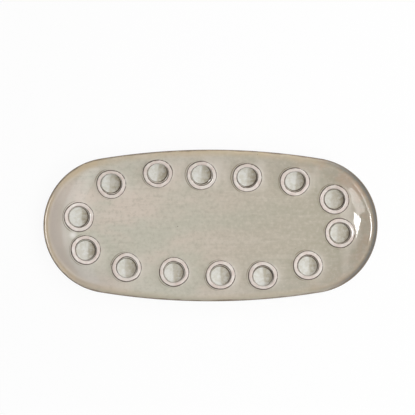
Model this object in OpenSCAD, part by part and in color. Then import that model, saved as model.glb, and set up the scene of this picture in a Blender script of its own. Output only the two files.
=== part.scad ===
// Oval stoneware platter with a garland of applied clay rings, each round a well of pooled glaze.
// Millimetres. The origin is on the table under the platter's middle, +X runs along its length,
// +Y across it towards the far long side, and +Z up.

/* [Platter outline] */
// Length over the rim
platter_length = 350; // [320:5:400]
// Width over the rim
platter_width = 158.9; // [154:0.1:180]
// How far each long side bulges out past the radius of the two round ends
side_bulge = 8.45; // [6:0.05:12]

/* [Platter section] */
// Thickness of the stoneware wall
wall = 6; // [5:0.5:8]
// Height of the lip's crest above the food floor
rim_rise = 15; // [12:0.5:18]
// Radius of the lip's outer side
lip_radius = 3.2; // [2.6:0.2:3.6]
// Radius with which the slope rolls over into the lip
roll_radius = 12; // [9:0.5:15]
// Distance in from the rim's edge at which the floor starts to rise
slope_run = 46; // [42:1:52]

/* [Foot ring] */
// Height of the foot ring, from the table to the flat underside
foot_height = 3; // [2:0.5:5]
// Width of the foot ring at the level of the flat underside
foot_width = 8; // [6:0.5:10]
// Distance in from the rim's edge to the foot ring's outer side
foot_inset = 36; // [32:1:42]
// How much each side of the foot ring leans in at the table
foot_taper = 1.5; // [0.5:0.25:2.5]

/* [Applied rings] */
// Outer radius of each applied ring
ring_radius = 15.4; // [14:0.2:16]
// Width of the ring's band of clay
ring_band = 4.4; // [3.6:0.2:6]
// Height of the ring above the food surface
ring_height = 1.4; // [1:0.1:2]
// Lean of the ring's sides, in degrees
ring_lean = 10; // [6:1:16]

/* [Wells and glaze] */
// Width of the bare ledge between a ring and its well
well_ledge = 0.4; // [0.2:0.1:0.8]
// Depth of each well below the food surface
well_depth = 2.2; // [1.8:0.1:2.6]
// Depth of the glaze in the middle of each well
glaze_depth = 0.9; // [0.6:0.1:1.2]
// Height of the bare well side above the edge of the glaze
glaze_margin = 0.2; // [0.1:0.05:0.4]

/* [Hidden] */
$fn = 128;
// How far a cut or a construction shape runs past what it has to reach
overrun = 2;
// Straight steps that stand for each curve of the section
slope_steps = 12;
roll_steps = 6;
lip_steps = 12;

// Places of the ring centres, as shares of half the length and half the width
ring_place_shares = [
    [-0.598, 0.553], [-0.317, 0.695], [-0.054, 0.672], [0.221, 0.640], [0.509, 0.585],
    [0.748, 0.345], [0.782, -0.102], [0.588, -0.536], [0.316, -0.674], [0.061, -0.666],
    [-0.220, -0.624], [-0.505, -0.563], [-0.752, -0.331], [-0.795, 0.112]
];

// Outline of four arcs: two round ends, and two long sides that meet them without a corner
half_length = platter_length / 2;
half_width = platter_width / 2;
end_radius = half_width - side_bulge;
end_centre = half_length - end_radius;
side_radius = (end_centre ^ 2 + half_width ^ 2 - end_radius ^ 2) / (2 * side_bulge);
side_centre = side_radius - half_width;

// Section: a flat floor, an arc that lifts it, an arc that rolls it over to the lip's crest, and
// the lip's round outer side
floor_top = foot_height + wall;
crest_top = floor_top + rim_rise;
rise_run = slope_run - lip_radius;
rise_radius = (rise_run ^ 2 + rim_rise ^ 2) / (2 * rim_rise);
food_radius = rise_radius - roll_radius;
// How far in the section reaches, which is past the middle of the floor
section_reach = half_width + overrun;
slope_centre = floor_top + food_radius;
// Steepest slope, where the two arcs meet
full_slope = asin(rise_run / rise_radius);

// Wells: the cap of a sphere, as wide as the ring's inside less the ledge
ring_inner_radius = ring_radius - ring_band;
well_radius = ring_inner_radius - well_ledge;
well_ball_radius = (well_radius ^ 2 + well_depth ^ 2) / (2 * well_depth);
glaze_dip = well_depth - glaze_depth - glaze_margin;
glaze_radius = sqrt(well_ball_radius ^ 2 - (well_ball_radius - well_depth + glaze_margin) ^ 2);
glaze_ball_radius = (glaze_radius ^ 2 + glaze_dip ^ 2) / (2 * glaze_dip);

ring_count = len(ring_place_shares);
function numbered(name, i) = str(name, i < 9 ? "_0" : "_", i + 1);

// Where a point of the food surface lies, from the arc of the outline that it belongs to
function ring_place(i) = [
    ring_place_shares[i].x * half_length,
    ring_place_shares[i].y * half_width
];
function by_the_end(p) = past_meeting(p) > 0;
function arc_centre(p) = by_the_end(p)
    ? [sign(p.x) * end_centre, 0]
    : [0, -sign(p.y) * side_centre];
function arc_radius(p) = by_the_end(p) ? end_radius : side_radius;
function inset(p) = arc_radius(p) - norm(p - arc_centre(p));
function outward_angle(p) = atan2(p.y - arc_centre(p).y, p.x - arc_centre(p).x);
function slope_angle(p) = asin(max(0, slope_run - inset(p)) / food_radius);
function food_height(p) = floor_top + food_radius * (1 - cos(slope_angle(p)));
// How far a place lies past the nearest line where two arcs meet, on the round end's side of it
function past_meeting(p) = ((abs(p.x) - end_centre) * side_centre - abs(p.y) * end_centre)
    / (side_radius - end_radius);

// Sweeps a section round the outline. In the section, x is the distance in from the rim's edge
// and y is the height. Each arc is swept through half a turn, then cut where it meets the next
// one.
module round_the_outline() {
    for (end = [0, 1]) mirror([end, 0, 0]) end_arc() children();
    for (side = [0, 1]) mirror([0, side, 0]) side_arc() children();
}

module end_arc() {
    intersection() {
        translate([end_centre, 0, 0]) rotate([0, 0, -90]) half_turn(end_radius) children();
        zone([[1, 0], [2, 1], [2, -1]]);
    }
}

module side_arc() {
    intersection() {
        translate([0, -side_centre, 0]) half_turn(side_radius) children();
        zone([[1, 0], [2, 1], [-2, 1], [-1, 0]]);
    }
}

module half_turn(radius) {
    rotate_extrude(angle = 180, $fn = 2 * $fn) intersection() {
        translate([radius, 0]) mirror([1, 0]) children();
        translate([0, -overrun]) square([radius + overrun, crest_top + 2 * overrun]);
    }
}

// A block over part of the plan. Its corners are shares of the arc centres' distances from the
// middle, so that both sides of a meeting line are drawn from the same two points.
module zone(corner_shares) {
    translate([0, 0, -overrun])
        linear_extrude(crest_top + 2 * overrun)
            polygon([for (c = corner_shares) [c.x * end_centre, c.y * side_centre]]);
}

// Points along an arc. Angles are measured from straight up, positive towards +X.
function arc_points(centre, radius, from, to, steps) = [
    for (k = [0 : steps])
        let (a = from + (to - from) * k / steps) centre + radius * [sin(a), cos(a)]
];
function backwards(list) = [for (k = [len(list) - 1 : -1 : 0]) list[k]];

// The line that lies at a height above the food surface, measured square to it, from the middle
// of the floor to the lip's crest
function food_line(height) = concat(
    [[section_reach, floor_top + height]],
    arc_points([slope_run, slope_centre], food_radius - height, 180, 180 + full_slope, slope_steps),
    arc_points([lip_radius, crest_top - roll_radius], roll_radius + height, full_slope, 0, roll_steps)
);

// The section of a coat that follows the food surface, between two heights above it
module coat_section(low, high) {
    polygon(concat(food_line(low), backwards(food_line(high))));
}

module wall_section() {
    polygon(concat(
        food_line(0),
        arc_points([lip_radius, crest_top - lip_radius], lip_radius, 0, -180, lip_steps),
        arc_points([slope_run, slope_centre], food_radius + wall, 180 + full_slope, 180, slope_steps),
        [[section_reach, foot_height]]
    ));
}

// The foot's sides run on into the wall, then the wall's own section is cut away, so the foot's
// top takes the shape of the underside
module foot_section() {
    spread = foot_taper * wall / foot_height;
    difference() {
        polygon([
            [foot_inset - spread, floor_top],
            [foot_inset + foot_taper, 0],
            [foot_inset + foot_width - foot_taper, 0],
            [foot_inset + foot_width + spread, floor_top]
        ]);
        coat_section(-wall, 0);
    }
}

// Puts its children on the food surface at ring i, with +Z square to the surface there
module at_ring(i) {
    p = ring_place(i);
    translate([p.x, p.y, food_height(p)])
        rotate([0, -slope_angle(p), outward_angle(p)]) children();
}

// The well's own space: the bottom of a ball, inside a straight side
module well_section() {
    intersection() {
        well_ball_section();
        translate([0, -well_depth]) square([well_radius, well_ball_radius]);
    }
}

module well_ball_section() {
    intersection() {
        translate([0, well_ball_radius - well_depth]) circle(well_ball_radius);
        translate([0, -well_depth]) square(2 * well_ball_radius);
    }
}

module platter_body() {
    color("#bab3a6") difference() {
        round_the_outline() wall_section();
        for (i = [0 : ring_count - 1]) at_ring(i) rotate_extrude() well_section();
    }
}

module foot_ring() {
    color("#b79f80") round_the_outline() foot_section();
}

// A band with leaning sides, tall enough to take in the coat where the slope curves up from the
// ring's own plane
module ring_blank() {
    reach = ring_radius ^ 2 / (2 * food_radius) + 2 * ring_height;
    lean = reach * tan(ring_lean);
    rotate_extrude() polygon([
        [ring_inner_radius - lean, -reach],
        [ring_radius + lean, -reach],
        [ring_radius - lean, reach],
        [ring_inner_radius + lean, reach]
    ]);
}

module applied_ring(i) {
    color("#cdc2b8") intersection() {
        round_the_outline() coat_section(0, ring_height);
        at_ring(i) ring_blank();
    }
}

module glaze_pool(i) {
    color("#cdd2cb") at_ring(i) rotate_extrude() difference() {
        well_ball_section();
        translate([0, glaze_ball_radius - glaze_dip - glaze_margin]) circle(glaze_ball_radius);
    }
}

platter_body();
foot_ring();
for (i = [0 : ring_count - 1]) {
    applied_ring(i);
    glaze_pool(i);
}
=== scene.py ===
"""Oval stoneware platter with fourteen applied clay rings, dressed in Blender.

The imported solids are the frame. Every piece here stands where its solid stands, in metres, and
has the glaze, the soft edges and the small unevenness that the solids leave out.
"""

from __future__ import annotations

import logging
import math
from dataclasses import dataclass
from enum import Enum
from functools import cached_property
from typing import NamedTuple

import bmesh
import bpy
from mathutils import Matrix, Vector, noise

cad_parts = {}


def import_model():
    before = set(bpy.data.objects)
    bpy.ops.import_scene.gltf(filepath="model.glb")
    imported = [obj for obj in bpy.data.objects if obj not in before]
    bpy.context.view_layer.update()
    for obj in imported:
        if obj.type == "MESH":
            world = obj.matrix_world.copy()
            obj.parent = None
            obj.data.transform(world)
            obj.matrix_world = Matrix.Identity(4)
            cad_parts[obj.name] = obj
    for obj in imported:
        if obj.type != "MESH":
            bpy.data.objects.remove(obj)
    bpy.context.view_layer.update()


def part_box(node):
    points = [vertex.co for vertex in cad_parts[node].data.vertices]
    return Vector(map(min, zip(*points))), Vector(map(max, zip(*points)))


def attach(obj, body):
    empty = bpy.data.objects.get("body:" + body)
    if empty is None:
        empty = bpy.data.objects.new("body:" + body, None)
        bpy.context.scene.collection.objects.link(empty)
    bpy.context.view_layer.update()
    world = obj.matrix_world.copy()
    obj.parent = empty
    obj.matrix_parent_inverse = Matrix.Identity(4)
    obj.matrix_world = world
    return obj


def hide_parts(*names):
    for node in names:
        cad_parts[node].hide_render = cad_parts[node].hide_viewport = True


LOG = logging.getLogger("oval_platter")
MM = 0.001
BODY = "root"

Colour = tuple[float, float, float]
Place = tuple[float, float, float]
Profile = tuple[tuple[float, float], ...]
Socket = bpy.types.NodeSocket

# Share of a round spot's radius out to which its colour is solid
SOLID_SHARE = 0.6


class Slot(Enum):
    """The record's material slots."""

    BODY_GLAZE = "body_glaze"
    BARE_STONEWARE = "bare_stoneware"
    RING_GLAZE = "ring_glaze"
    POOL_GLAZE = "pool_glaze"


class Seen(Enum):
    """Which rays a lamp is seen by."""

    ON_CLAY = "lights the clay alone"
    IN_GLAZE = "shows in the glaze alone"


class Measure(Enum):
    """What a mask of the body's glaze runs over."""

    RIM = "distance in from the rim's edge"
    FRAYED_RIM = "the same distance, frayed by a cloud"
    ALONG = "place along the length, as a share of half the length"
    LEANING = "the same place, leaning with the place across the width"
    DEPTH = "place across the width"
    # Painted light and shade beside a ring: pale on its right, dark on its left.
    PAINTED_LIGHT = "how pale or dark the glaze has settled beside a ring"
    RUN_UP = "how far the glaze has run up against a ring"


class Ramp(NamedTuple):
    """A smooth step from a first result to a last one, over a range of values."""

    low: float
    high: float
    first: float = 0.0
    last: float = 1.0


class Cloud(NamedTuple):
    """A soft noise: its waves to the metre, its octaves and the strength of the finer ones."""

    scale: float
    detail: float = 2.0
    rough: float = 0.5
    stretch: Place | None = None
    shift: Place = (0.0, 0.0, 0.0)


class Specks(NamedTuple):
    """Small round specks: cells to the metre, radius in a cell, and share of cells with one."""

    scale: float
    radius: float
    share: float


Masks = tuple[tuple[Measure | Cloud, Ramp], ...]


class Coat(NamedTuple):
    """A colour laid on where all its masks let it through."""

    colour: Colour
    masks: Masks


class Dot(NamedTuple):
    """A round spot of one colour, solid out to a share of its radius."""

    colour: Colour
    place: Place
    radius: float
    solid: float = SOLID_SHARE


def shade(red: int, green: int, blue: int) -> Colour:
    """Turn a display colour, from 0 to 255, into the linear colour that a shader takes."""

    def linear(value: int) -> float:
        part = value / 255
        return part / 12.92 if part <= 0.04045 else ((part + 0.055) / 1.055) ** 2.4

    return linear(red), linear(green), linear(blue)


@dataclass(frozen=True)
class Outline:
    """The platter's outline of four arcs: two round ends and two long sides."""

    half_length: float
    half_width: float
    side_bulge: float = 8.45 * MM

    @property
    def end_radius(self) -> float:
        """Radius of the round ends."""
        return self.half_width - self.side_bulge

    @property
    def end_centre(self) -> float:
        """Distance from the middle to the centre of a round end."""
        return self.half_length - self.end_radius

    @property
    def side_radius(self) -> float:
        """Radius of the long sides."""
        across = self.half_width**2 - self.end_radius**2
        return (self.end_centre**2 + across) / (2 * self.side_bulge)

    @property
    def side_centre(self) -> float:
        """Distance from the middle to the centre of a long side."""
        return self.side_radius - self.half_width

    @property
    def meeting_angle(self) -> float:
        """Angle from +X to the line where a round end meets a long side."""
        return math.atan2(self.side_centre, self.end_centre)

    def arc_at(self, x: float, y: float) -> tuple[Vector, float]:
        """Centre and radius of the arc that a point of the plan belongs to."""
        past = (abs(x) - self.end_centre) * self.side_centre - abs(y) * self.end_centre
        if past > 0:
            return Vector((math.copysign(self.end_centre, x), 0, 0)), self.end_radius
        return Vector((0, -math.copysign(self.side_centre, y), 0)), self.side_radius

    def inset(self, x: float, y: float) -> float:
        """Distance in from the rim's edge at a point of the plan."""
        centre, radius = self.arc_at(x, y)
        return radius - (Vector((x, y, 0)) - centre).length

    def outward(self, x: float, y: float) -> float:
        """Angle of the outward direction at a point of the plan."""
        centre, _ = self.arc_at(x, y)
        return math.atan2(y - centre.y, x - centre.x)


@dataclass(frozen=True)
class Section:
    """The wall's section, from the flat floor over the slope and the roll to the lip."""

    crest: float
    foot_height: float = 3 * MM
    wall: float = 6 * MM
    lip_radius: float = 3.2 * MM
    roll_radius: float = 9.0 * MM
    slope_run: float = 46 * MM

    @property
    def floor(self) -> float:
        """Height of the flat food floor."""
        return self.foot_height + self.wall

    @property
    def rise_radius(self) -> float:
        """Radii of the slope and the roll together."""
        run, rise = self.slope_run - self.lip_radius, self.crest - self.floor
        return (run**2 + rise**2) / (2 * rise)

    @property
    def food_radius(self) -> float:
        """Radius of the concave slope."""
        return self.rise_radius - self.roll_radius

    @property
    def full_slope(self) -> float:
        """Steepest slope, where the concave arc meets the roll."""
        return math.asin((self.slope_run - self.lip_radius) / self.rise_radius)

    def slope(self, inset: float) -> float:
        """Slope of the food surface at a distance in from the rim's edge."""
        if inset >= self.slope_run:
            return 0.0
        concave = (self.slope_run - inset) / self.food_radius
        if concave <= math.sin(self.full_slope):
            return math.asin(concave)
        return math.asin((inset - self.lip_radius) / self.roll_radius)

    def height(self, inset: float) -> float:
        """Height of the food surface at a distance in from the rim's edge."""
        if inset >= self.slope_run:
            return self.floor
        angle = self.slope(inset)
        if inset > self.lip_radius + self.roll_radius * math.sin(self.full_slope):
            return self.floor + self.food_radius * (1 - math.cos(angle))
        return self.crest - self.roll_radius * (1 - math.cos(angle))


@dataclass(frozen=True)
class HandWork:
    """The soft unevenness of a hand-built piece, the same each time."""

    swell: float = 0.16 * MM
    swell_scale: float = 15.0
    swell_seed: float = 0.37
    wobble_gain: float = 2.0
    wobble_scale: float = 0.9
    fine_scale: float = 2.6
    fine_share: float = 0.35

    def lift(self, x: float, y: float) -> float:
        """How far the food surface swells up at a point of the plan."""
        return self.swell * noise.noise(Vector((x, y, self.swell_seed)) * self.swell_scale)

    def wobble(self, angle: float, seed: float, size: float) -> float:
        """How far a hand-cut round line strays at an angle.

        Args:
            angle: Angle round the line.
            seed: A number of the line's own.
            size: The most that it strays.

        Returns:
            The stray, outwards where positive.
        """
        place = Vector((math.cos(angle), math.sin(angle), seed))
        slow = noise.noise(place * self.wobble_scale)
        fine = noise.noise(place * self.fine_scale) * self.fine_share
        return self.wobble_gain * size * (slow + fine)


@dataclass(frozen=True)
class Clay:
    """The platter's shape: its outline, its section and its hand work."""

    outline: Outline
    section: Section
    hand: HandWork

    def food(self, x: float, y: float) -> float:
        """Height of the food surface at a point of the plan."""
        return self.section.height(self.outline.inset(x, y)) + self.hand.lift(x, y)


@dataclass(frozen=True)
class Seat:
    """A ring's seat on the slope, with its own frame square to the surface."""

    clay: Clay
    number: int
    x: float
    y: float
    sag_rounds: int = 6

    @cached_property
    def frame(self) -> Matrix:
        """The seat's frame: +X out and up the slope, +Z square to the surface."""
        outline, section = self.clay.outline, self.clay.section
        slope = section.slope(outline.inset(self.x, self.y))
        place = Vector((self.x, self.y, self.clay.food(self.x, self.y)))
        turn = Matrix.Rotation(outline.outward(self.x, self.y), 4, "Z")
        return Matrix.Translation(place) @ turn @ Matrix.Rotation(-slope, 4, "Y")

    def sag(self, across: Vector) -> float:
        """How far along +Z the food surface stands above a point of the seat's own plane."""
        found = 0.0
        for _ in range(self.sag_rounds):
            point = self.frame @ Vector((across.x, across.y, found))
            found -= (point.z - self.clay.food(point.x, point.y)) * self.frame[2][2]
        return found

    def facing(self, point: Vector, side: float) -> float:
        """How squarely a point lies to a side, an angle from +X: 1 on it, -1 opposite."""
        away = point - self.frame.translation
        return math.cos(math.atan2(away.y, away.x) - side)


class NodeBoard:
    """Builds the nodes of a material or of the world in a few words."""

    def __init__(self, owner: bpy.types.Material | bpy.types.World) -> None:
        """Start to fill a material or a world, with no nodes but the coordinates."""
        self.owner = owner
        owner.use_nodes = True
        self.tree = owner.node_tree
        self.tree.nodes.clear()
        coordinates = self.add("ShaderNodeTexCoord")
        self.place = coordinates.outputs["Object"]
        self.direction = coordinates.outputs["Generated"]
        self.clouds: dict[Cloud, Socket] = {}
        self.measures: dict[Measure, Socket] = {}

    @classmethod
    def paint(cls, name: str) -> NodeBoard:
        """Start a material under a name."""
        return cls(bpy.data.materials.new(name))

    def add(
        self, kind: str, feeds: dict[str | int, object] | None = None, **settings: object
    ) -> bpy.types.Node:
        """Add a node, set its properties and feed its inputs.

        Args:
            kind: The node's type.
            feeds: Another node's output or a value for each input, by name or number.
            **settings: The node's properties.

        Returns:
            The node.
        """
        node = self.tree.nodes.new(kind)
        for key, value in settings.items():
            setattr(node, key, value)
        for key, value in (feeds or {}).items():
            self.feed(node.inputs[key], value)
        return node

    def feed(self, socket: Socket, value: object) -> None:
        """Link a socket to another node's output, or set its value."""
        if isinstance(value, Socket):
            self.tree.links.new(value, socket)
        elif isinstance(value, tuple) and socket.type == "RGBA":
            socket.default_value = (*value, 1.0)
        else:
            socket.default_value = value

    def cloud(self, cloud: Cloud) -> Socket:
        """A soft noise from 0 to 1, made once for each kind."""
        if cloud not in self.clouds:
            at = self.place
            if cloud.stretch is not None:
                feeds = {"Vector": at, "Scale": cloud.stretch, "Location": cloud.shift}
                at = self.add("ShaderNodeMapping", feeds).outputs["Vector"]
            names = ("Vector", "Scale", "Detail", "Roughness")
            feeds = dict(zip(names, (at, cloud.scale, cloud.detail, cloud.rough)))
            self.clouds[cloud] = self.add("ShaderNodeTexNoise", feeds).outputs["Fac"]
        return self.clouds[cloud]

    def frayed(self, value: Socket, cloud: Cloud, gain: float, middle: float = 0.0) -> Socket:
        """Let a value stray with a cloud, by a gain for the noise past a middle."""
        stray = self.sum("SUBTRACT", self.cloud(cloud), middle)
        return self.sum("ADD", value, self.times(stray, gain))

    def speckled(self, specks: Specks) -> Socket:
        """Small round specks, 1 inside and 0 outside."""
        feeds = {"Vector": self.place, "Scale": specks.scale}
        cells = self.add("ShaderNodeTexVoronoi", feeds, feature="F1").outputs
        ramp = Ramp(SOLID_SHARE * specks.radius, specks.radius, 1.0, 0.0)
        near = self.span(cells["Distance"], ramp)
        pick = self.add("ShaderNodeSeparateColor", {"Color": cells["Color"]}).outputs["Red"]
        return self.times(near, self.sum("LESS_THAN", pick, specks.share))

    def span(self, value: Socket, ramp: Ramp) -> Socket:
        """Run a value along a ramp."""
        names = ("Value", "From Min", "From Max", "To Min", "To Max")
        feeds = dict(zip(names, (value, *ramp)))
        node = self.add("ShaderNodeMapRange", feeds, interpolation_type="SMOOTHSTEP")
        return node.outputs["Result"]

    def sum(self, what: str, one: object, two: object) -> Socket:
        """One step of arithmetic on two values."""
        return self.add("ShaderNodeMath", {0: one, 1: two}, operation=what).outputs["Value"]

    def times(self, product: object, *factors: object) -> Socket:
        """Multiply values together."""
        for factor in factors:
            product = self.sum("MULTIPLY", product, factor)
        return product

    def mix(self, share: object, one: object, two: object, kind: str = "RGBA") -> Socket:
        """Blend two colours by a share, or two values where the kind is FLOAT."""
        feeds = {"Factor": share, "A": one, "B": two}
        return self.add("ShaderNodeMix", feeds, data_type=kind).outputs["Result"]

    def read(self, name: str) -> Socket:
        """A value that the mesh carries at its vertices."""
        return self.add("ShaderNodeAttribute", attribute_name=name).outputs["Fac"]

    def axes(self, vector: Socket) -> tuple[Socket, ...]:
        """The three parts of a vector as values."""
        parts = self.add("ShaderNodeSeparateXYZ", {"Vector": vector}).outputs
        return parts["X"], parts["Y"], parts["Z"]

    def near(self, spot: Place, inner: float, outer: float) -> Socket:
        """A round mask about one spot, 1 inside the inner radius and 0 outside the outer one."""
        node = self.add("ShaderNodeVectorMath", {0: self.place, 1: spot}, operation="DISTANCE")
        return self.span(node.outputs["Value"], Ramp(inner, outer, 1.0, 0.0))

    def masked(self, masks: Masks) -> Socket:
        """Multiply masks, each a ramp over a cloud or over one of the board's measures."""
        return self.times(
            *(
                self.span(self.cloud(over) if isinstance(over, Cloud) else self.measures[over], ramp)
                for over, ramp in masks
            )
        )

    def coated(self, colour: object, coats: tuple[Coat, ...]) -> Socket:
        """Lay coats over a colour, one after another."""
        for coat in coats:
            colour = self.mix(self.masked(coat.masks), colour, coat.colour)
        return colour

    def bumps(self, height: Socket, depth: float, under: Socket | None = None) -> Socket:
        """Normal of a surface raised by a value, over any bump that lies under it."""
        feeds = {"Strength": 1.0, "Distance": depth, "Height": height}
        if under is not None:
            feeds["Normal"] = under
        return self.add("ShaderNodeBump", feeds).outputs["Normal"]

    def glaze(
        self, colour: object, rough: object, normal: Socket, index: float
    ) -> bpy.types.Material:
        """End the material with a shader, with one index of refraction all over."""
        feeds = {"Base Color": colour, "Roughness": rough, "IOR": index, "Normal": normal}
        shader = self.add("ShaderNodeBsdfPrincipled", feeds)
        self.add("ShaderNodeOutputMaterial", {"Surface": shader.outputs["BSDF"]})
        return self.owner


@dataclass(frozen=True)
class ReactiveGlaze:
    """Glossy greige glaze: mottled, brushed lengthwise, golden and then brown at the rim, with
    painted light, shade and sheen.
    """

    half_length: float
    ring_places: tuple[Place, ...]
    green: Colour = shade(202, 199, 184)
    pink: Colour = shade(219, 206, 193)
    right: Colour = shade(182, 175, 158)
    # Colour of the brushed streaks, also laid on as painted shade beside the rings and as a darker
    # band along the near rim.
    streak_and_painted_shade: Colour = shade(172, 165, 148)
    pale: Colour = shade(218, 210, 198)
    lavender: Colour = shade(174, 163, 153)
    toast: Colour = shade(198, 169, 146)
    gold: Colour = shade(200, 181, 152)
    edge: Colour = shade(112, 96, 78)
    painted_lip_shade: Colour = shade(71, 72, 69)
    fleck: Colour = shade(70, 56, 44)
    painted_reflection: Colour = shade(227, 222, 215)
    index: float = 1.42
    grain: Cloud = Cloud(240.0, 3.0, 0.7)
    specks: Specks = Specks(85.0, 0.05, 0.2)
    mottles: tuple[Coat, ...] = (
        Coat(pink, ((Cloud(1.0, 3.0, 0.55, (11.0, 25.0, 17.0)), Ramp(0.38, 0.62)),)),
        # Painted shade: the glaze darkens towards the right end.
        Coat(right, ((Measure.ALONG, Ramp(-0.72, 0.86)),)),
        Coat(streak_and_painted_shade, (
            (Cloud(1.0, 3.0, 0.6, (30.0, 330.0, 60.0)), Ramp(0.42, 0.68)),
            (Cloud(24.0), Ramp(0.38, 0.66, 0.04, 0.24)),
        )),
        Coat(pale, (
            (
                Cloud(1.0, 3.0, 0.6, (22.0, 190.0, 60.0), (3.0, 7.0, 1.0)),
                Ramp(0.50, 0.74, 0.0, 0.28),
            ),
        )),
        Coat(streak_and_painted_shade, ((grain, Ramp(0.47, 0.72, 0.0, 0.40)),)),
        Coat(pale, ((grain, Ramp(0.51, 0.28, 0.0, 0.32)),)),
    )
    slope_coats: tuple[Coat, ...] = (
        # Painted sheen: a pale band up the slope, fainter along the near side.
        Coat(pale, (
            (Cloud(1.0, 2.0, 0.5, (60.0, 14.0, 14.0)), Ramp(0.46, 0.68)),
            (Measure.RIM, Ramp(4 * MM, 14 * MM, 0.0, 0.62)),
            (Measure.RIM, Ramp(32 * MM, 46 * MM, 1.0, 0.0)),
            (Measure.DEPTH, Ramp(-60 * MM, -5 * MM, 0.4, 1.0)),
        )),
        Coat(lavender, (
            (Measure.RIM, Ramp(8 * MM, 36 * MM, 1.0, 0.0)),
            (Measure.LEANING, Ramp(-0.96, -0.58, 0.9, 0.0)),
        )),
        Coat(toast, (
            (Measure.ALONG, Ramp(0.42, 0.75)),
            (Measure.DEPTH, Ramp(-45 * MM, 20 * MM, 0.45, 1.0)),
            (Measure.RIM, Ramp(4 * MM, 26 * MM, 1.0, 0.0)),
            (Cloud(42.0, 4.0, 0.65), Ramp(0.38, 0.62, 0.05, 0.75)),
        )),
        # Painted light on the right of each ring and painted shade on its left.
        Coat(pale, ((Measure.PAINTED_LIGHT, Ramp(0.0, 1.0, 0.0, 0.42)),)),
        Coat(streak_and_painted_shade, ((Measure.PAINTED_LIGHT, Ramp(0.0, -1.0, 0.0, 0.36)),)),
    )
    rim_coats: tuple[Coat, ...] = (
        # Painted shade: a dark band along the right end's lip.
        Coat(painted_lip_shade, (
            (Measure.RIM, Ramp(2.2 * MM, 7.0 * MM, 1.0, 0.0)),
            (Measure.ALONG, Ramp(0.50, 0.93, 0.0, 0.86)),
        )),
        # Darker along the near rim.
        Coat(streak_and_painted_shade, (
            (Measure.RIM, Ramp(0.0, 7.0 * MM, 1.0, 0.0)),
            (Measure.DEPTH, Ramp(-74 * MM, -55 * MM, 0.75, 0.0)),
        )),
        Coat(edge, ((Measure.FRAYED_RIM, Ramp(-1.2 * MM, 0.8 * MM, 0.9, 0.0)),)),
        # A thin dark line round each ring's base on its left side: partly a glaze ripple, partly
        # painted shadow.
        Coat(edge, (
            (Measure.RUN_UP, Ramp(0.04, 0.15)),
            (Measure.RUN_UP, Ramp(0.2, 0.42, 1.0, 0.0)),
            (Cloud(48.0, 1.0), Ramp(0.40, 0.56, 0.0, 0.7)),
            (Measure.PAINTED_LIGHT, Ramp(-0.5, 0.1, 1.0, 0.0)),
        )),
    )
    dots: tuple[Dot, ...] = (
        # Painted reflection: a pale round patch on the left slope between two rings.
        Dot(painted_reflection, (-0.1450, -0.0100, 0.0116), 5.6 * MM, 0.0),
        Dot(fleck, (0.1003, 0.0370, 0.0147), 1.1 * MM),
        Dot(fleck, (0.0902, -0.0245, 0.0093), 0.55 * MM),
        Dot(fleck, (0.0868, -0.0262, 0.0095), 0.45 * MM),
    )
    gold_rim: Ramp = Ramp(0.0, 8.0 * MM, 1.0, 0.0)
    gold_wider: Masks = (
        (Measure.ALONG, Ramp(-0.93, -0.80)),
        (Measure.ALONG, Ramp(-0.66, -0.45, 2.0 * MM, 0.0)),
    )
    gold_share: Masks = (
        (Cloud(22.0, 3.0, 0.6), Ramp(0.38, 0.6, 0.40, 0.95)),
        (Measure.ALONG, Ramp(0.55, 0.85, 1.0, 0.0)),
    )
    near_side: Masks = (
        (Measure.DEPTH, Ramp(-62 * MM, -30 * MM, 1.0, 0.0)),
        (Measure.ALONG, Ramp(-0.7, -0.2)),
    )
    near_side_gold: Ramp = Ramp(0.0, 1.0, 1.0, 0.35)
    gold_rough: float = 0.22
    sheen: tuple[Cloud, Ramp] = (Cloud(38.0), Ramp(0.3, 0.7, 0.05, 0.11))
    rim_fray: tuple[Cloud, float] = (Cloud(70.0, 3.0), -3.0 * MM)
    lean: float = 0.35
    fillet_radii: tuple[float, float] = (14.6 * MM, 18.4 * MM)
    fillet_height: float = 0.35 * MM
    ripples: tuple[tuple[Cloud, float], ...] = (
        (Cloud(30.0, 1.0), 0.04 * MM),
        (Cloud(650.0, 1.0), 0.003 * MM),
    )

    def material(self) -> bpy.types.Material:
        """Build the material, which reads the rim distance and the painted light beside the rings
        from the mesh.
        """
        board = NodeBoard.paint("reactive_glaze")
        self.measure(board)
        colour = board.coated(self.green, self.mottles)
        colour = board.mix(board.speckled(self.specks), colour, self.fleck)
        colour = board.coated(colour, self.slope_coats)
        golden = self.golden(board)
        colour = board.coated(board.mix(golden, colour, self.gold), self.rim_coats)
        for dot in self.dots:
            spot = board.near(dot.place, dot.solid * dot.radius, dot.radius)
            colour = board.mix(spot, colour, dot.colour)
        rough = board.sum("ADD", board.masked((self.sheen,)), board.times(golden, self.gold_rough))
        normal = board.bumps(board.measures[Measure.RUN_UP], self.fillet_height)
        for cloud, height in self.ripples:
            normal = board.bumps(board.cloud(cloud), height, normal)
        return board.glaze(colour, rough, normal, self.index)

    def measure(self, board: NodeBoard) -> None:
        """Give the board all that the masks run over."""
        across, depth, _ = board.axes(board.place)
        leaning = board.sum("ADD", across, board.times(depth, self.lean))
        rim = board.read("rim_distance")
        run_up: object = 0.0
        for place in self.ring_places:
            run_up = board.sum("MAXIMUM", board.near(place, *self.fillet_radii), run_up)
        board.measures = {
            Measure.RIM: rim,
            Measure.FRAYED_RIM: board.frayed(rim, *self.rim_fray),
            Measure.ALONG: board.times(across, 1 / self.half_length),
            Measure.LEANING: board.times(leaning, 1 / self.half_length),
            Measure.DEPTH: depth,
            Measure.PAINTED_LIGHT: board.read("ring_painted_light"),
            Measure.RUN_UP: run_up,
        }

    def golden(self, board: NodeBoard) -> Socket:
        """Share of gold along the rim, most on the left and least along the near side."""
        rim, wider = board.measures[Measure.FRAYED_RIM], board.masked(self.gold_wider)
        return board.times(
            board.span(board.sum("SUBTRACT", rim, wider), self.gold_rim),
            board.masked(self.gold_share),
            board.span(board.masked(self.near_side), self.near_side_gold),
        )


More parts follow.
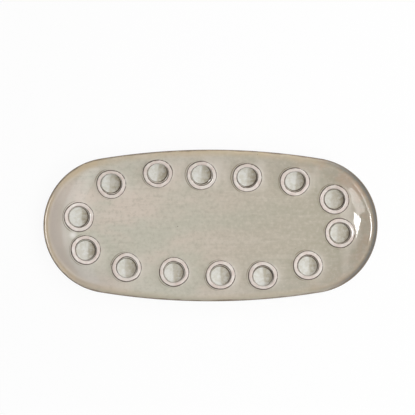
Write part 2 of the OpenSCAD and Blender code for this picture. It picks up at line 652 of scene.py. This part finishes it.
@dataclass(frozen=True)
class RingGlaze:
    """Pale pinkish glaze on the rings, which breaks to brown where it thins at the edges, with
    painted shadow on their shaded sides.
    """

    pale: Colour = shade(232, 223, 215)
    warm: Colour = shade(221, 206, 197)
    # Brown of thin glaze, also used for the painted shadow.
    thin: Colour = shade(88, 74, 62)
    index: float = 1.45
    tint: tuple[Cloud, Ramp] = (Cloud(150.0, 3.0, 0.6), Ramp(0.36, 0.64))
    sheen: tuple[Cloud, Ramp] = (Cloud(90.0, 1.0), Ramp(0.3, 0.7, 0.10, 0.20))
    edge_fray: tuple[Cloud, float, float] = (Cloud(210.0, 3.0, 0.6), 1.3, 0.5)
    edge_colour: Ramp = Ramp(0.30, 0.85)
    edge_rough: Ramp = Ramp(0.25, 0.60, 0.0, 0.5)
    ripple: tuple[Cloud, float] = (Cloud(240.0), 0.03 * MM)

    def material(self) -> bpy.types.Material:
        """Build the material, which reads from the mesh how thin the glaze is, with painted shadow
        folded in.
        """
        board = NodeBoard.paint("ring_glaze")
        # How thin the glaze is, with painted shadow folded in.
        edge = board.frayed(board.read("thin_glaze_and_painted_shadow"), *self.edge_fray)
        colour = board.mix(board.masked((self.tint,)), self.pale, self.warm)
        colour = board.mix(board.span(edge, self.edge_colour), colour, self.thin)
        sheen = board.masked((self.sheen,))
        rough = board.sum("ADD", sheen, board.span(edge, self.edge_rough))
        cloud, height = self.ripple
        return board.glaze(colour, rough, board.bumps(board.cloud(cloud), height), self.index)


@dataclass(frozen=True)
class PoolGlaze:
    """Thick glassy glaze that stands in the wells, with painted shade and a painted shadow towards
    one side.
    """

    olive: Colour = shade(192, 185, 167)
    cool: Colour = shade(204, 200, 189)
    # Colour of the painted shade, laid on towards the well's dark side.
    umber: Colour = shade(136, 124, 104)
    # Colour of the painted shadow along the well's side.
    painted_well_shadow: Colour = shade(98, 84, 70)
    index: float = 1.8
    rough: float = 0.03
    tint: tuple[Cloud, Ramp] = (Cloud(230.0, 4.0, 0.65), Ramp(0.38, 0.63))
    tint_shade: float = -0.25
    shade_colour: Ramp = Ramp(0.0, 0.9, 0.0, 0.68)
    side_fray: tuple[Cloud, float, float] = (Cloud(300.0, 2.0, 0.6), 0.7, 0.5)
    side_colour: Ramp = Ramp(0.20, 0.75)
    ripple: tuple[Cloud, float] = (Cloud(210.0), 0.02 * MM)

    def material(self) -> bpy.types.Material:
        """Build the material, which reads from the mesh the painted shade across the well and how
        near its side is, for a painted shadow.
        """
        board = NodeBoard.paint("pool_glaze")
        tint = board.masked((self.tint,))
        colour = board.mix(tint, self.olive, self.cool)
        # Painted shade, darker towards the well's dark side.
        shaded = board.sum("ADD", board.read("well_painted_shade"), board.times(tint, self.tint_shade))
        colour = board.mix(board.span(shaded, self.shade_colour), colour, self.umber)
        # Painted shadow: a dark crescent along the well's side.
        side = board.frayed(board.read("painted_shadow_crescent"), *self.side_fray)
        colour = board.mix(board.span(side, self.side_colour), colour, self.painted_well_shadow)
        cloud, height = self.ripple
        return board.glaze(colour, self.rough, board.bumps(board.cloud(cloud), height), self.index)


@dataclass(frozen=True)
class BareStoneware:
    """Glaze on the foot's sides, wiped off where it stands on the table."""

    buff: Colour = shade(190, 163, 130)
    dark: Colour = shade(158, 130, 100)
    fleck: Colour = shade(112, 88, 66)
    glaze: Colour = shade(178, 170, 154)
    line: Colour = shade(133, 104, 76)
    index: float = 1.5
    grain: Cloud = Cloud(900.0, 4.0, 0.7)
    grain_colour: Ramp = Ramp(0.35, 0.7)
    grain_height: float = 0.03 * MM
    specks: Specks = Specks(260.0, 0.16, 0.2)
    wipe_fray: tuple[Cloud, float] = (Cloud(120.0), -1.0 * MM)
    wipe_edge: Ramp = Ramp(0.55 * MM, 0.75 * MM)
    wipe_line: Ramp = Ramp(0.45 * MM, 1.3 * MM)
    wipe_rough: Ramp = Ramp(0.0, 1.0, 0.85, 0.14)

    def material(self) -> bpy.types.Material:
        """Build the material, split by height into bare clay and glaze."""
        board = NodeBoard.paint("foot_stoneware")
        _, _, up = board.axes(board.place)
        grain = board.cloud(self.grain)
        clay = board.mix(board.span(grain, self.grain_colour), self.buff, self.dark)
        clay = board.mix(board.speckled(self.specks), clay, self.fleck)
        wiped = board.frayed(up, *self.wipe_fray)
        glazed = board.span(wiped, self.wipe_edge)
        lined = board.mix(board.span(wiped, self.wipe_line), self.line, self.glaze)
        rough = board.span(glazed, self.wipe_rough)
        normal = board.bumps(grain, self.grain_height)
        return board.glaze(board.mix(glazed, clay, lined), rough, normal, self.index)


def linked(name: str, form: bmesh.types.BMesh) -> bpy.types.Object:
    """Turn a bmesh into an object of the scene, which uses the bmesh up."""
    mesh = bpy.data.meshes.new(name)
    form.to_mesh(mesh)
    form.free()
    piece = bpy.data.objects.new(name, mesh)
    bpy.context.scene.collection.objects.link(piece)
    return piece


def finished(name: str, form: bmesh.types.BMesh, finish: bpy.types.Material) -> bpy.types.Object:
    """Turn a bmesh into a smooth object of the scene with one material."""
    piece = linked(name, form)
    piece.data.materials.append(finish)
    piece.data.shade_smooth()
    return piece


def seated(piece: bpy.types.Object, node: str) -> None:
    """Let a piece ride on the platter and stand for the solid of a CAD node."""
    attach(piece, BODY)
    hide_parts(node)
    LOG.info("%s stands for %s: %d faces", piece.name, node, len(piece.data.polygons))


def crease(form: bmesh.types.BMesh, angle: float) -> None:
    """Mark the edges that are sharper than an angle, so that they shade as edges."""
    for edge in form.edges:
        if len(edge.link_faces) == 2 and edge.calc_face_angle(0.0) > angle:
            edge.smooth = False


def chained(form: bmesh.types.BMesh, line: list[bmesh.types.BMVert], closed: bool) -> list:
    """Join a line of vertices by edges, and its last one to its first where it is closed."""
    after = line[1:] + line[:1] if closed else line[1:]
    return [*line, *(form.edges.new(pair) for pair in zip(line, after))]


def lathe(form: bmesh.types.BMesh, line: list[bmesh.types.BMVert], closed: bool, steps: int) -> None:
    """Spin a line of vertices once round the Z axis."""
    bmesh.ops.spin(
        form,
        geom=chained(form, line, closed),
        cent=(0, 0, 0),
        axis=(0, 0, 1),
        angle=2 * math.pi,
        steps=steps,
        use_merge=True,
    )


def arc(
    centre: tuple[float, float], radius: float, start: float, end: float, steps: int
) -> list[tuple[float, float]]:
    """Find points along an arc of the section.

    Args:
        centre: The centre's inset and height.
        radius: The radius.
        start: Angle of the first point, from straight up towards the middle of the floor.
        end: Angle of the last point.
        steps: Straight steps between them.

    Returns:
        The points, each its inset and its height.
    """
    angles = (start + (end - start) * k / steps for k in range(steps + 1))
    return [(centre[0] + radius * math.sin(a), centre[1] + radius * math.cos(a)) for a in angles]


@dataclass
class OvalSweep:
    """Sweeps a section round the four arcs of the outline."""

    clay: Clay
    end_steps: int
    side_steps: int
    weld: float = 0.005 * MM

    def sweep(self, profile: Profile, closed: bool) -> bmesh.types.BMesh:
        """Sweep a section round the outline.

        Args:
            profile: Points of the section, each its inset and its height.
            closed: Whether the last point joins the first.

        Returns:
            The swept form.
        """
        outline = self.clay.outline
        turn = outline.meeting_angle
        form = bmesh.new()
        line = [form.verts.new(self.at_start(inset, height)) for inset, height in profile]
        last = chained(form, line, closed)
        for side in (1, -1):
            for centre, angle, steps in (
                ((side * outline.end_centre, 0, 0), 2 * turn, self.end_steps),
                ((0, -side * outline.side_centre, 0), math.pi - 2 * turn, self.side_steps),
            ):
                last = bmesh.ops.spin(
                    form, geom=last, cent=centre, axis=(0, 0, 1), angle=angle, steps=steps
                )["geom_last"]
        bmesh.ops.remove_doubles(form, verts=form.verts, dist=self.weld)
        return form

    def at_start(self, inset: float, height: float) -> Vector:
        """Place a point of the section on the line where the first sweep starts."""
        outline = self.clay.outline
        reach = outline.end_radius - inset
        turn = -outline.meeting_angle
        return Vector((outline.end_centre + reach * math.cos(turn), reach * math.sin(turn), height))


@dataclass
class PlatterBody:
    """The stoneware body with its floor, slope, rolled lip and wells."""

    clay: Clay
    seats: tuple[Seat, ...]
    finish: ReactiveGlaze
    end_steps: int = 104
    side_steps: int = 100
    middle_inset: float = 70 * MM
    flat_step: float = 4 * MM
    slope_steps: int = 20
    roll_steps: int = 9
    lip_steps: int = 14
    middle_cuts: int = 7
    cap_share: float = 0.25
    level_error: float = 0.04 * MM
    well_radius: float = 10.65 * MM
    well_depth: float = 2.9 * MM
    well_sides: int = 72
    # Reach of the painted light and shade about each ring.
    painted_light_start: float = 15 * MM
    painted_light_reach: float = 26 * MM
    sharp: float = math.radians(42)

    def section_line(self) -> Profile:
        """Points of the section, from the middle of the floor over the lip to the underside."""
        shape = self.clay.section
        full, under = shape.full_slope, shape.food_radius + shape.wall
        steps = int((self.middle_inset - shape.slope_run) / self.flat_step) + 1
        flats = [self.middle_inset - k * self.flat_step for k in range(steps)]
        flats = [inset for inset in flats if inset > shape.slope_run]
        slope = (shape.slope_run, shape.floor + shape.food_radius)
        roll = (shape.lip_radius, shape.crest - shape.roll_radius)
        lip = (shape.lip_radius, shape.crest - shape.lip_radius)
        below = (shape.slope_run, shape.foot_height + under)
        return (
            *((inset, shape.floor) for inset in flats),
            *arc(slope, shape.food_radius, math.pi, math.pi + full, self.slope_steps),
            *arc(roll, shape.roll_radius, full, 0.0, self.roll_steps)[1:],
            *arc(lip, shape.lip_radius, 0.0, -math.pi, self.lip_steps)[1:],
            *arc(below, under, math.pi + full, math.pi, self.slope_steps),
            *((inset, shape.foot_height) for inset in reversed(flats)),
        )

    def between_ends(self, edge: bmesh.types.BMEdge, height: float) -> bool:
        """Whether an edge lies at a height and between the round ends."""
        outline = self.clay.outline
        reach = outline.end_centre + self.cap_share * (outline.end_radius - self.middle_inset)
        level = abs(edge.verts[0].co.z - height) < self.level_error
        return level and all(abs(vert.co.x) < reach for vert in edge.verts)

    def close_middle(self, form: bmesh.types.BMesh) -> None:
        """Close the middle of the floor and of the underside."""
        for height in (self.clay.section.floor, self.clay.section.foot_height):
            sides = [e for e in form.edges if e.is_boundary and self.between_ends(e, height)]
            bmesh.ops.bridge_loops(form, edges=sides)
            cross = [
                e
                for e in form.edges
                if e.verts[0].co.y * e.verts[1].co.y < 0 and self.between_ends(e, height)
            ]
            bmesh.ops.subdivide_edges(form, edges=cross, cuts=self.middle_cuts, use_grid_fill=True)
        holes = [e for e in form.edges if e.is_boundary]
        bmesh.ops.holes_fill(form, edges=holes, sides=0)

    def well_cutter(self) -> bpy.types.Object:
        """Make one object with a plug at each seat, which cuts the wells."""
        form = bmesh.new()
        for seat in self.seats:
            made = bmesh.ops.create_cone(
                form,
                cap_ends=True,
                segments=self.well_sides,
                radius1=self.well_radius,
                radius2=self.well_radius,
                depth=2 * self.well_depth,
            )
            bmesh.ops.transform(form, matrix=seat.frame, verts=made["verts"])
        return linked("well_cutter", form)

    def painted_light_at(self, point: Vector) -> float:
        """Painted light and shade beside the nearest ring: 1 palest, on its right, to -1 darkest."""
        places = (seat.frame.translation for seat in self.seats)
        away = point - min(places, key=lambda place: (place - point).length)
        fade = (self.painted_light_reach - away.length) / (self.painted_light_reach - self.painted_light_start)
        return min(1.0, max(0.0, fade)) * away.x / max(away.length, MM)

    def build(self) -> None:
        """Build the body."""
        sweep = OvalSweep(self.clay, self.end_steps, self.side_steps)
        form = sweep.sweep(self.section_line(), closed=False)
        self.close_middle(form)
        for vert in form.verts:
            vert.co.z += self.clay.hand.lift(vert.co.x, vert.co.y)
        bmesh.ops.recalc_face_normals(form, faces=form.faces)
        piece = finished("glazed_body", form, self.finish.material())
        plugs = self.well_cutter()
        cut = piece.modifiers.new("wells", "BOOLEAN")
        cut.operation, cut.solver, cut.object = "DIFFERENCE", "EXACT", plugs
        ready = piece.evaluated_get(bpy.context.evaluated_depsgraph_get())
        carved = bpy.data.meshes.new_from_object(ready)
        piece.modifiers.clear()
        piece.data = carved
        bpy.data.objects.remove(plugs)
        form = bmesh.new()
        form.from_mesh(carved)
        crease(form, self.sharp)
        rim = form.verts.layers.float.new("rim_distance")
        # Painted light and shade beside the rings, for the glaze to read.
        glow = form.verts.layers.float.new("ring_painted_light")
        for vert in form.verts:
            vert[rim] = self.clay.outline.inset(vert.co.x, vert.co.y)
            vert[glow] = self.painted_light_at(vert.co)
        form.to_mesh(carved)
        form.free()
        seated(piece, "platter_body")


@dataclass
class FootRing:
    """The luted foot, glazed down its sides and bare where it stands.

    Its line gives the section in millimetres, each point its inset and its height.
    """

    clay: Clay
    finish: BareStoneware
    end_steps: int = 72
    side_steps: int = 60
    line: Profile = (
        (34.6, 4.6), (35.6, 3.7), (36.25, 2.4), (36.75, 1.3), (37.15, 0.55), (37.6, 0.16),
        (38.2, 0.0), (39.4, 0.0), (40.6, 0.0), (41.8, 0.0), (42.4, 0.16), (42.85, 0.55),
        (43.25, 1.3), (43.75, 2.4), (44.4, 3.4), (45.2, 4.2), (40.0, 5.2),
    )

    def build(self) -> None:
        """Build the foot ring."""
        profile = tuple((inset * MM, height * MM) for inset, height in self.line)
        form = OvalSweep(self.clay, self.end_steps, self.side_steps).sweep(profile, closed=True)
        bmesh.ops.recalc_face_normals(form, faces=form.faces)
        piece = finished("foot_ring_worn", form, self.finish.material())
        seated(piece, "foot_ring")


@dataclass
class AppliedRing:
    """A flat ring of clay laid on the slope, with its collar down into the well.

    Its line gives the section in millimetres, each point its radius, its height and how thin
    the glaze is there.
    """

    seat: Seat
    finish: bpy.types.Material
    steps: int = 120
    stray: float = 0.30 * MM
    inner_seed: float = 3.1
    outer_seeds: tuple[float, float] = (5.7, 40.0)
    shadow_side: float = math.radians(215)
    shadow_gain: float = 0.3
    line: tuple[tuple[float, float, float], ...] = (
        (16.1, -0.30, 1.0), (15.85, 0.0, 1.0), (15.62, 0.16, 1.0), (15.42, 0.50, 1.0),
        (15.26, 0.88, 1.0), (15.02, 1.16, 0.62), (14.6, 1.33, 0.14), (14.0, 1.42, 0.0),
        (13.3, 1.45, 0.0), (12.5, 1.43, 0.0), (11.95, 1.34, 0.10), (11.6, 1.16, 0.55),
        (11.35, 0.84, 1.0), (11.15, 0.34, 1.0), (10.87, -0.4, 1.0), (10.47, -1.4, 1.0),
        (10.1, -2.5, 1.0), (10.45, -2.7, 1.0), (10.6, -0.7, 1.0), (15.9, -0.6, 1.0),
    )

    def build(self) -> None:
        """Build the ring."""
        form = bmesh.new()
        thin = form.verts.layers.float.new("thin_glaze_and_painted_shadow")
        start = []
        for radius, height, bare in self.line:
            vert = form.verts.new((radius * MM, 0, height * MM))
            vert[thin] = bare
            start.append(vert)
        lathe(form, start, closed=True, steps=self.steps)
        self.drape(form)
        bmesh.ops.recalc_face_normals(form, faces=form.faces)
        piece = finished(f"ring_{self.seat.number:02d}", form, self.finish)
        seated(piece, f"applied_ring_{self.seat.number:02d}")

    def drape(self, form: bmesh.types.BMesh) -> None:
        """Lay a flat ring on the slope and give it its hand-cut unevenness."""
        seat, hand = self.seat, self.seat.clay.hand
        inner, outer = self.line[-2][0] * MM, self.line[0][0] * MM
        outer_gain, outer_start = self.outer_seeds
        seeds = seat.number * self.inner_seed, seat.number * outer_gain + outer_start
        thin = form.verts.layers.float["thin_glaze_and_painted_shadow"]
        for vert in form.verts:
            radius, angle = math.hypot(vert.co.x, vert.co.y), math.atan2(vert.co.y, vert.co.x)
            share = min(1.0, max(0.0, (radius - inner) / (outer - inner)))
            stray = (1 - share) * hand.wobble(angle, seeds[0], self.stray)
            stray += share * hand.wobble(angle, seeds[1], self.stray)
            reach = 1 + stray / radius
            across = Vector((vert.co.x * reach, vert.co.y * reach, 0))
            across.z = vert.co.z + seat.sag(across)
            vert.co = seat.frame @ across
            # Painted shadow: the dark line grows on the outer edge facing the lower left and on the
            # inner edge facing the upper right.
            turned = seat.facing(vert.co, self.shadow_side)
            vert[thin] *= 1 + self.shadow_gain * (2 * share - 1) * turned


@dataclass
class GlazePool:
    """The glaze that stands in a well, dished and deeper towards one side."""

    seat: Seat
    finish: bpy.types.Material
    radius: float = 10.45 * MM
    dish: float = 50 * MM
    middle: float = -2.0 * MM
    bottom: float = -2.85 * MM
    lean: float = math.radians(4.5)
    rings: int = 22
    steps: int = 96
    weld: float = 0.01 * MM
    sharp: float = math.radians(50)
    meniscus: float = 1.3 * MM
    climb: float = 0.04 * MM
    climb_power: int = 3
    # Painted shade and painted shadow in the pool fall towards this side.
    dark_side: float = math.radians(-5)
    dark_widths: tuple[float, float] = (0.25 * MM, 1.7 * MM)
    dark_power: float = 0.7

    def build(self) -> None:
        """Build the pool."""
        form = bmesh.new()
        side = form.verts.layers.float.new("painted_shadow_crescent")
        shaded = form.verts.layers.float.new("well_painted_shade")
        line = [form.verts.new((self.radius * k / self.rings, 0, 0)) for k in range(self.rings + 1)]
        line += [form.verts.new((self.radius, 0, self.bottom)), form.verts.new((0, 0, self.bottom))]
        lathe(form, line, closed=False, steps=self.steps)
        bmesh.ops.remove_doubles(form, verts=form.verts, dist=self.weld)
        frame = self.seat.frame
        along = (frame.to_3x3().inverted() @ Vector((1, 0, 0))).to_2d().normalized()
        least, most = self.dark_widths
        for vert in form.verts:
            radius = vert.co.to_2d().length
            if vert.co.z > self.bottom / 2:
                rise = max(0.0, 1 - (self.radius - radius) / self.meniscus) ** self.climb_power
                vert.co.z = self.middle + radius**2 / (2 * self.dish) + self.climb * rise
                vert.co.z -= math.tan(self.lean) * vert.co.to_2d().dot(along)
            vert.co = frame @ vert.co
            # Painted shadow: a crescent along the well's edge, widest towards the dark side.
            turned = self.seat.facing(vert.co, self.dark_side)
            width = least + (most - least) * max(0.0, turned) ** self.dark_power
            vert[side] = max(0.0, 1 - (self.radius - radius) / width)
            # Painted shade: darker out towards the well's dark side.
            vert[shaded] = max(0.0, turned * radius / self.radius)
        bmesh.ops.recalc_face_normals(form, faces=form.faces)
        crease(form, self.sharp)
        piece = finished(f"pool_{self.seat.number:02d}", form, self.finish)
        seated(piece, f"glaze_pool_{self.seat.number:02d}")


@dataclass
class Garland:
    """The fourteen rings and their pools, placed round the slope.

    Each place is a share of half the length and a share of half the width.
    """

    clay: Clay
    place_shares: tuple[tuple[float, float], ...] = (
        (-0.598, 0.553), (-0.317, 0.695), (-0.054, 0.672), (0.221, 0.640), (0.509, 0.585),
        (0.748, 0.345), (0.782, -0.102), (0.588, -0.536), (0.316, -0.674), (0.061, -0.666),
        (-0.220, -0.624), (-0.505, -0.563), (-0.752, -0.331), (-0.795, 0.112),
    )

    @cached_property
    def seats(self) -> tuple[Seat, ...]:
        """The rings' seats, numbered as the CAD nodes are."""
        outline = self.clay.outline
        return tuple(
            Seat(self.clay, number, x * outline.half_length, y * outline.half_width)
            for number, (x, y) in enumerate(self.place_shares, start=1)
        )

    def build(self) -> None:
        """Build every ring and every pool."""
        ring_finish, pool_finish = RingGlaze().material(), PoolGlaze().material()
        for seat in self.seats:
            AppliedRing(seat, ring_finish).build()
            GlazePool(seat, pool_finish).build()


@dataclass(frozen=True)
class Panel:
    """A flat soft lamp."""

    name: str
    place: Place
    aim: Place
    width: float
    height: float
    radiance: float
    seen: Seen = Seen.IN_GLAZE
    turn: float = 0.0
    colour: Colour = (1.0, 1.0, 1.0)

    def light(self) -> None:
        """Hang the lamp."""
        data = bpy.data.lights.new(self.name, "AREA")
        data.shape, data.size, data.size_y = "RECTANGLE", self.width, self.height
        data.energy = self.radiance * math.pi * self.width * self.height
        data.color = self.colour
        lamp = bpy.data.objects.new(self.name, data)
        towards = Vector(self.aim) - Vector(self.place)
        facing = towards.to_track_quat("-Z", "Y").to_matrix().to_4x4()
        turn = Matrix.Rotation(self.turn, 4, "Z")
        lamp.matrix_world = Matrix.Translation(self.place) @ facing @ turn
        lamp.visible_diffuse = self.seen is Seen.ON_CLAY
        lamp.visible_glossy = self.seen is Seen.IN_GLAZE
        bpy.context.scene.collection.objects.link(lamp)


@dataclass
class Studio:
    """A plain pale floor, soft lamps, and the camera straight above."""

    clay: Clay
    picture_pixels: int = 415
    outline_pixels: float = 334.2
    centre_pixel: tuple[float, float] = (210.5, 225.5)
    camera_height: float = 1.25
    floor_size: float = 40.0
    floor_white: float = 0.90
    floor_glow: float = 0.93
    fill: float = 0.42
    low_walls: Ramp = Ramp(0.35, 0.65, 1.0, 0.2)
    east_wall: Ramp = Ramp(0.55, 0.85, 0.0, 0.8)
    north_wall: Ramp = Ramp(0.35, 0.60, 0.0, 0.8)
    panels: tuple[Panel, ...] = (
        Panel(
            "key", place=(0.87, 0.1, 1.47), aim=(0.87, 0.1, 0.0),
            width=1.165, height=3.0, radiance=2.92, seen=Seen.ON_CLAY,
        ),
        Panel(
            "key_seen", place=(0.87, 0.1, 1.45), aim=(0.87, 0.1, 0.0),
            width=1.165, height=12.0, radiance=1.95, colour=(0.91, 1.0, 1.09),
        ),
        Panel(
            "window", place=(-0.885, -0.03, 1.23), aim=(0.155, 0.0, 0.015),
            width=0.57, height=0.34, radiance=36.0, turn=math.radians(-28),
        ),
        Panel(
            "side_window", place=(-1.056, -0.729, 1.03), aim=(0.15, 0.02, 0.015),
            width=0.8, height=0.58, radiance=6.0,
        ),
    )

    def build(self) -> None:
        """Set up the floor, the lamps, the world and the camera."""
        self.lay_floor()
        for panel in self.panels:
            panel.light()
        self.light_world()
        self.set_camera()
        bpy.context.scene.view_settings.view_transform = "Standard"

    def lay_floor(self) -> None:
        """Lay the pale floor, which keeps the platter's shadow."""
        form = bmesh.new()
        bmesh.ops.create_grid(form, x_segments=2, y_segments=2, size=self.floor_size / 2)
        board = NodeBoard.paint("pale_floor")
        matt = board.add("ShaderNodeBsdfDiffuse", {"Color": (self.floor_white,) * 3})
        glow = board.add("ShaderNodeEmission")
        path = board.add("ShaderNodeLightPath").outputs
        shown = board.sum("MAXIMUM", path["Is Camera Ray"], path["Is Glossy Ray"])
        shown = board.sum("MAXIMUM", shown, path["Is Transmission Ray"])
        share = board.times(shown, self.floor_glow)
        feeds = {"Fac": share, 1: matt.outputs["BSDF"], 2: glow.outputs["Emission"]}
        surface = board.add("ShaderNodeMixShader", feeds).outputs["Shader"]
        board.add("ShaderNodeOutputMaterial", {"Surface": surface})
        finished("floor", form, board.owner)

    def light_world(self) -> None:
        """Fill the room with a dim even light that shows white, with soft walls in the glaze."""
        world = bpy.data.worlds.new("room")
        bpy.context.scene.world = world
        board = NodeBoard(world)
        east, north, up = board.axes(board.direction)
        walls = [board.span(east, self.east_wall), board.span(north, self.north_wall)]
        shown = board.sum("ADD", board.span(up, self.low_walls), board.sum("MAXIMUM", *walls))
        path = board.add("ShaderNodeLightPath").outputs
        seen = board.sum("MAXIMUM", path["Is Camera Ray"], path["Is Transmission Ray"])
        lit = board.mix(path["Is Glossy Ray"], self.fill, shown, "FLOAT")
        strength = board.mix(seen, lit, 1.0, "FLOAT")
        back = board.add("ShaderNodeBackground", {"Strength": strength})
        board.add("ShaderNodeOutputWorld", {"Surface": back.outputs["Background"]})

    def set_camera(self) -> None:
        """Hang the camera above the platter, looking straight down."""
        pixel = 2 * self.clay.outline.half_length / self.outline_pixels
        middle = self.picture_pixels / 2
        lip = self.clay.section.crest - self.clay.section.lip_radius
        camera = bpy.data.objects.new("camera", bpy.data.cameras.new("camera"))
        camera.location = (
            (middle - self.centre_pixel[0]) * pixel,
            (self.centre_pixel[1] - middle) * pixel,
            self.camera_height,
        )
        frame_width = self.picture_pixels * pixel
        camera.data.lens = camera.data.sensor_width * (self.camera_height - lip) / frame_width
        bpy.context.scene.collection.objects.link(camera)
        bpy.context.scene.camera = camera


def main() -> None:
    """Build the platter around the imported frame."""
    logging.basicConfig(level=logging.INFO, format="%(name)s: %(message)s")
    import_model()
    _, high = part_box("platter_body")
    hand = HandWork()
    clay = Clay(Outline(high.x, high.y), Section(high.z - hand.swell), hand)
    garland = Garland(clay)
    places = tuple(tuple(seat.frame.translation) for seat in garland.seats)
    PlatterBody(clay, garland.seats, ReactiveGlaze(clay.outline.half_length, places)).build()
    FootRing(clay, BareStoneware()).build()
    garland.build()
    Studio(clay).build()


if __name__ == "__main__":
    main()
